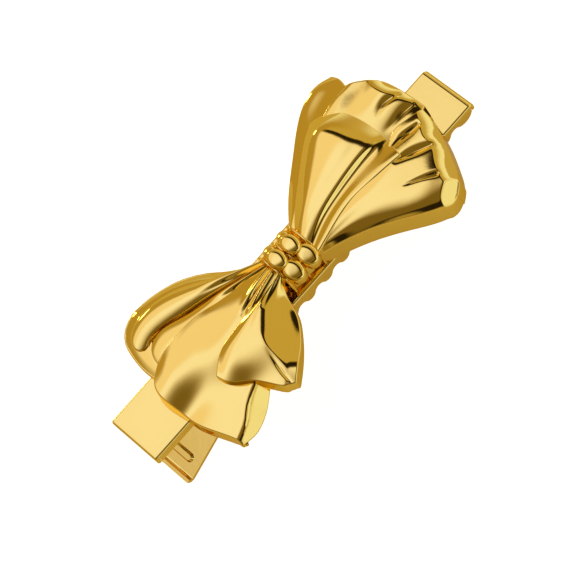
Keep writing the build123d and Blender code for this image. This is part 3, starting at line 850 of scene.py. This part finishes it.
def gold(name, roughness, grain, variation):
    """Polished gold plate: faint swirls in its sheen, a fine skin texture and a deeper tone in places."""
    material = bpy.data.materials.new(name)
    material.use_nodes = True
    tree = material.node_tree
    shader = tree.nodes["Principled BSDF"]
    shader.inputs["Metallic"].default_value = 1.0
    shader.inputs["Specular Tint"].default_value = grazing_tint
    place = tree.nodes.new("ShaderNodeTexCoord")

    def noise(scale, detail):
        node = tree.nodes.new("ShaderNodeTexNoise")
        node.inputs["Scale"].default_value = scale
        node.inputs["Detail"].default_value = detail
        tree.links.new(place.outputs["Object"], node.inputs["Vector"])
        return node.outputs["Fac"]

    tone = tree.nodes.new("ShaderNodeMix")
    tone.data_type = "RGBA"
    tone.inputs["A"].default_value = gold_tone
    tone.inputs["B"].default_value = deep_gold_tone
    tree.links.new(noise(tone_scale, 3), tone.inputs["Factor"])
    tree.links.new(tone.outputs["Result"], shader.inputs["Base Color"])
    sheen = tree.nodes.new("ShaderNodeMapRange")
    sheen.inputs["To Min"].default_value = roughness - variation
    sheen.inputs["To Max"].default_value = roughness + variation
    tree.links.new(noise(sheen_scale, 5), sheen.inputs["Value"])
    tree.links.new(sheen.outputs["Result"], shader.inputs["Roughness"])
    skin = tree.nodes.new("ShaderNodeBump")
    skin.inputs["Strength"].default_value = grain
    skin.inputs["Distance"].default_value = skin_depth
    tree.links.new(noise(skin_scale, 2), skin.inputs["Height"])
    tree.links.new(skin.outputs["Normal"], shader.inputs["Normal"])
    return material


casting = gold("cast_gold", roughness=0.07, grain=0.15, variation=0.02)
strip = gold("strip_gold", roughness=0.11, grain=0.3, variation=0.03)


# ---- the pieces ----


def make_bow():
    """The loop and the tails, each of sheets that lie over one another."""
    loop_sheets = (loop_lobe, loop_back, loop_right, loop_front)
    tail_sheets = (tail_low, tail_upper_lobe, tail_lower_lobe, tail_broad, tail_short)
    for name, sheets, replaced in (
        ("sculpted_loop", loop_sheets, "bow_loop"),
        ("sculpted_tails", tail_sheets, "bow_tails"),
    ):
        piece = build_mesh(name, [sheet() for sheet in sheets])
        piece.data.materials.append(casting)
        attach(piece, "upper")
        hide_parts(replaced)


def make_knot():
    """The knot: two gathered rows over the plate, each pinched into three pillows, between thin collars."""
    left_shift = 0.2
    collar_width = 0.4
    parts = [knot_arch(half=3.0, top=4.1, first_x=27.2, last_x=32.9, bulge=0.0, count=3)]
    for x in (27.15, 29.65, 32.45):
        parts.append(knot_arch(half=3.05, top=4.4, first_x=x, last_x=x + collar_width, bulge=0.2))
    for row_x, right_shift in ((28.5, 0.3), (31.0, 0.4)):
        parts.append(pillow((row_x + right_shift, -3.1, 3.6), half_sizes=(1.36, 1.75, 1.25), turn=8))
        parts.append(pillow((row_x, -0.75, 4.35), half_sizes=(1.25, 1.65, 1.15), turn=0))
        parts.append(pillow((row_x + left_shift, 0.95, 3.8), half_sizes=(0.9, 1.0, 0.9), turn=-30))
    piece = build_mesh("sculpted_knot", parts)
    piece.data.materials.append(casting)
    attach(piece, "upper")
    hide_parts("bow_knot")


pin_r = 0.7
spring_sheet = 0.3
spring_width = 4.2
spring_reach = 11.0
spring_play = 0.05
spring_chamfer = 0.05
spring_inside_r = pin_r + spring_play
spring_outside_r = spring_inside_r + spring_sheet
lever_angle = math.radians(25)


def spring_section():
    """The strip's section, as (radius, y) round its chamfered border."""
    section = []
    for side, first_r, last_r in (
        (-1, spring_inside_r, spring_outside_r),
        (1, spring_outside_r, spring_inside_r),
    ):
        inset = math.copysign(spring_chamfer, last_r - first_r)
        side_y = side * spring_width / 2
        face_y = side * (spring_width / 2 - spring_chamfer)
        section += [(first_r, face_y), (first_r + inset, side_y)]
        section += [(last_r - inset, side_y), (last_r, face_y)]
    return section


def spring_stations():
    """Places along the strip, upper end first: the section's turn about the pin and its shift in x and z."""
    leg_steps = 12
    bend_steps = 22
    headroom = hinge_drop - arm_sheet - spring_play
    rise = math.asin((headroom - spring_outside_r) / spring_reach)
    upper_turn = math.pi / 2 - rise
    lower_turn = lever_angle - math.pi / 2
    stations = []
    for away in np.linspace(spring_reach, 0, leg_steps):
        stations.append((upper_turn, -math.cos(rise) * away, math.sin(rise) * away))
    for turn in np.linspace(upper_turn, lower_turn, bend_steps)[1:-1]:
        stations.append((turn, 0, 0))
    for away in np.linspace(0, spring_reach, leg_steps):
        stations.append((lower_turn, -math.cos(lever_angle) * away, -math.sin(lever_angle) * away))
    return stations


def make_spring():
    """The leaf spring: a strip bent round the pin, one leg by the upper arm and the other by the lever.
    """
    sharp_angle = math.radians(30)
    section = spring_section()
    points = []
    for turn, shift_x, shift_z in spring_stations():
        for radius, y in section:
            x = hinge.x + radius * math.cos(turn) + shift_x
            z = hinge.z + radius * math.sin(turn) + shift_z
            points.append((x, y, z))
    size = len(section)
    faces = [tuple(range(size)), tuple(reversed(range(len(points) - size, len(points))))]
    for start in range(0, len(points) - size, size):
        ring = np.arange(start, start + size)
        faces.extend(ring_faces(ring, ring + size))
    piece = build_mesh("bent_spring", [(np.array(points), faces)])
    piece.data.set_sharp_from_angle(angle=sharp_angle)
    piece.data.materials.append(strip)
    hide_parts("leaf_spring")
    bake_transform(piece)


make_bow()
make_knot()
make_spring()
for name in ("upper_arm", "lower_arm", "hinge_pin", "solder_fillets"):
    for material_slot in nodes[name].material_slots:
        material_slot.material = strip


# ---- floor, studio and camera ----


def world_direction(x, y, z):
    return (arm_turn.to_3x3() @ Vector((x, y, z))).normalized()


def before_x(limit):
    """The side of the sky that lies before this angle from overhead, towards the nose."""
    turn = math.radians(limit)
    return world_direction(-math.cos(turn), 0, math.sin(turn))


def beyond_x(limit):
    return -before_x(limit)


def before_y(limit):
    """The side of the sky that lies before this angle from overhead, towards the left."""
    turn = math.radians(limit)
    return world_direction(0, -math.cos(turn), math.sin(turn))


def beyond_y(limit):
    return -before_y(limit)


def make_floor():
    """A matt floor just under the clip, near white to the camera and faintly glowing in reflections."""
    reach = 2.0  # metres
    gap = 0.2 * MM
    brightness = 0.96
    mirrored_glow = 0.2
    mesh = bpy.data.meshes.new("floor")
    corners = [(-reach, -reach, 0), (reach, -reach, 0), (reach, reach, 0), (-reach, reach, 0)]
    mesh.from_pydata(corners, [], [(0, 1, 2, 3)])
    floor = bpy.data.objects.new("floor", mesh)
    bpy.context.scene.collection.objects.link(floor)
    floor.location.z = cad_box[0][2] - gap
    material = bpy.data.materials.new("floor")
    material.use_nodes = True
    tree = material.node_tree
    shader = tree.nodes["Principled BSDF"]
    shader.inputs["Base Color"].default_value = (0.85, 0.7, 0.24, 1)
    shader.inputs["Roughness"].default_value = 1.0
    shader.inputs["Specular IOR Level"].default_value = 0.0
    shader.inputs["Emission Color"].default_value = (1, 1, 1, 1)
    rays = tree.nodes.new("ShaderNodeLightPath")
    seen = tree.nodes.new("ShaderNodeMath")
    seen.operation = "MULTIPLY"
    seen.inputs[1].default_value = brightness
    tree.links.new(rays.outputs["Is Camera Ray"], seen.inputs[0])
    bounced = tree.nodes.new("ShaderNodeMath")
    bounced.operation = "MAXIMUM"
    tree.links.new(rays.outputs["Is Glossy Ray"], bounced.inputs[0])
    tree.links.new(rays.outputs["Is Transmission Ray"], bounced.inputs[1])
    glow = tree.nodes.new("ShaderNodeMath")
    glow.operation = "MULTIPLY_ADD"
    glow.inputs[1].default_value = mirrored_glow
    tree.links.new(bounced.outputs["Value"], glow.inputs[0])
    tree.links.new(seen.outputs["Value"], glow.inputs[2])
    tree.links.new(glow.outputs["Value"], shader.inputs["Emission Strength"])
    mesh.materials.append(material)


def make_world():
    """A studio as the metal sees it: soft overhead light, dark surroundings, a pale horizon.

    To the camera itself the sky is white.
    """
    world = bpy.data.worlds.new("studio")
    bpy.context.scene.world = world
    world.use_nodes = True
    tree = world.node_tree
    place = tree.nodes.new("ShaderNodeTexCoord")

    def half_space(direction, start, stop):
        """A mask over the side of the sky that a direction points to, fading in from start to stop."""
        toward = tree.nodes.new("ShaderNodeVectorMath")
        toward.operation = "DOT_PRODUCT"
        toward.inputs[1].default_value = direction
        tree.links.new(place.outputs["Generated"], toward.inputs[0])
        share = tree.nodes.new("ShaderNodeMapRange")
        share.interpolation_type = "SMOOTHSTEP"
        share.inputs["From Min"].default_value = start
        share.inputs["From Max"].default_value = stop
        tree.links.new(toward.outputs["Value"], share.inputs["Value"])
        return share.outputs["Result"]

    def mask_product(*masks):
        total = masks[0]
        for mask in masks[1:]:
            product = tree.nodes.new("ShaderNodeMath")
            product.operation = "MULTIPLY"
            tree.links.new(total, product.inputs[0])
            tree.links.new(mask, product.inputs[1])
            total = product.outputs["Value"]
        return total

    def mix_colour(mask, under, over):
        mix = tree.nodes.new("ShaderNodeMix")
        mix.data_type = "RGBA"
        tree.links.new(mask, mix.inputs["Factor"])
        for colour, socket in ((under, mix.inputs["A"]), (over, mix.inputs["B"])):
            if isinstance(colour, tuple):
                socket.default_value = (*colour, 1)
            else:
                tree.links.new(colour, socket)
        return mix.outputs["Result"]

    white = (1, 1, 1)
    black = (0.02, 0.014, 0.01)
    olive = (0.2, 0.145, 0.05)
    brown = (0.3, 0.2, 0.06)
    dim = (0.3, 0.225, 0.09)
    warm = (0.6, 0.48, 0.23)
    rust = (0.5, 0.36, 0.12)
    soft = (0.93, 0.85, 1.05)
    amber = (1.0, 0.93, 1.25)
    bright = (1.06, 1.13, 2.1)
    side = (0.98, 1.08, 1.6)
    spark = (9.0, 9.0, 9.0)
    colour = mix_colour(half_space(beyond_x(-68), 0.0, 0.3), dim, warm)
    colour = mix_colour(half_space(beyond_y(48), 0.0, 0.2), colour, rust)
    # a dark screen overhead, along the right and front sides of the main light
    screen = mask_product(
        half_space(before_x(35), 0.0, 0.08),
        half_space(beyond_x(-60), 0.0, 0.2),
        half_space(beyond_y(-70), 0.0, 0.2),
        half_space(before_y(60), 0.0, 0.1),
    )
    shade = mix_colour(half_space(beyond_x(14), 0.0, 0.12), olive, black)
    shade = mix_colour(half_space(before_y(-37), 0.0, 0.1), shade, black)
    shade = mix_colour(half_space(beyond_y(45), 0.0, 0.15), shade, brown)
    colour = mix_colour(screen, colour, shade)
    # the main light, wide and soft, behind and to the left
    light = mask_product(
        half_space(before_x(17), -0.03, 0.05),
        half_space(beyond_x(-60), -0.1, 0.35),
        half_space(beyond_y(0), -0.16, 0.34),
        half_space(before_y(63), 0.0, 0.22),
    )
    glow = mix_colour(half_space(beyond_y(-6), 0.0, 0.45), soft, bright)
    glow = mix_colour(half_space(before_x(30), 0.0, 0.42), soft, glow)
    glow = mix_colour(half_space(beyond_y(27), 0.0, 0.15), glow, amber)
    colour = mix_colour(light, colour, glow)
    # a smaller light low at the front right, one along the right side, and one beyond the nose
    fill = mask_product(
        half_space(beyond_x(34), 0.0, 0.1),
        half_space(before_x(72), 0.0, 0.15),
        half_space(beyond_y(-60), 0.0, 0.15),
        half_space(before_y(-28), 0.0, 0.1),
    )
    right = mask_product(
        half_space(before_y(-57), 0.0, 0.12),
        half_space(beyond_y(-97), 0.0, 0.12),
        half_space(before_x(105), 0.0, 0.2),
        half_space(beyond_x(-40), 0.0, 0.2),
    )
    nose = mask_product(half_space(beyond_x(56), 0.0, 0.3), half_space(before_x(110), 0.0, 0.1))
    for mask in (fill, right, nose):
        colour = mix_colour(mask, colour, side)
    # a small spark to the left, just above the horizon
    spark_turn = math.radians(88)
    spark_direction = world_direction(0, math.sin(spark_turn), math.cos(spark_turn))
    colour = mix_colour(half_space(spark_direction, 0.995, 0.999), colour, spark)
    rays = tree.nodes.new("ShaderNodeLightPath")
    colour = mix_colour(rays.outputs["Is Camera Ray"], colour, white)
    tree.links.new(colour, tree.nodes["Background"].inputs["Color"])


def make_camera():
    """Looks at the arm's plate from above its right edge, from a distance in mm, with a long lens."""
    distance = 350.0
    lens = 171.8
    sensor_width = 36
    shift_right = 0.03
    shift_down = 3.85
    back = Vector((-0.0989, -0.4593, 0.8828)).normalized()
    roll = math.radians(48.40)
    along = (Vector((1, 0, 0)) - back * back.x).normalized()
    square = back.cross(along)
    right = along * math.cos(roll) - square * math.sin(roll)
    up = along * math.sin(roll) + square * math.cos(roll)
    aim = Vector((arm_length / 2, 0, 0)) + right * shift_right - up * shift_down
    camera = bpy.data.objects.new("camera", bpy.data.cameras.new("camera"))
    camera.data.lens = lens
    camera.data.sensor_width = sensor_width
    bpy.context.scene.collection.objects.link(camera)
    turn = Matrix((right, up, back)).transposed()
    place = arm_frame @ (aim + back * distance)
    camera.matrix_world = Matrix.Translation(place) @ arm_turn @ turn.to_4x4()
    bpy.context.scene.camera = camera


make_floor()
make_world()
make_camera()
bpy.context.scene.view_settings.view_transform = "Standard"
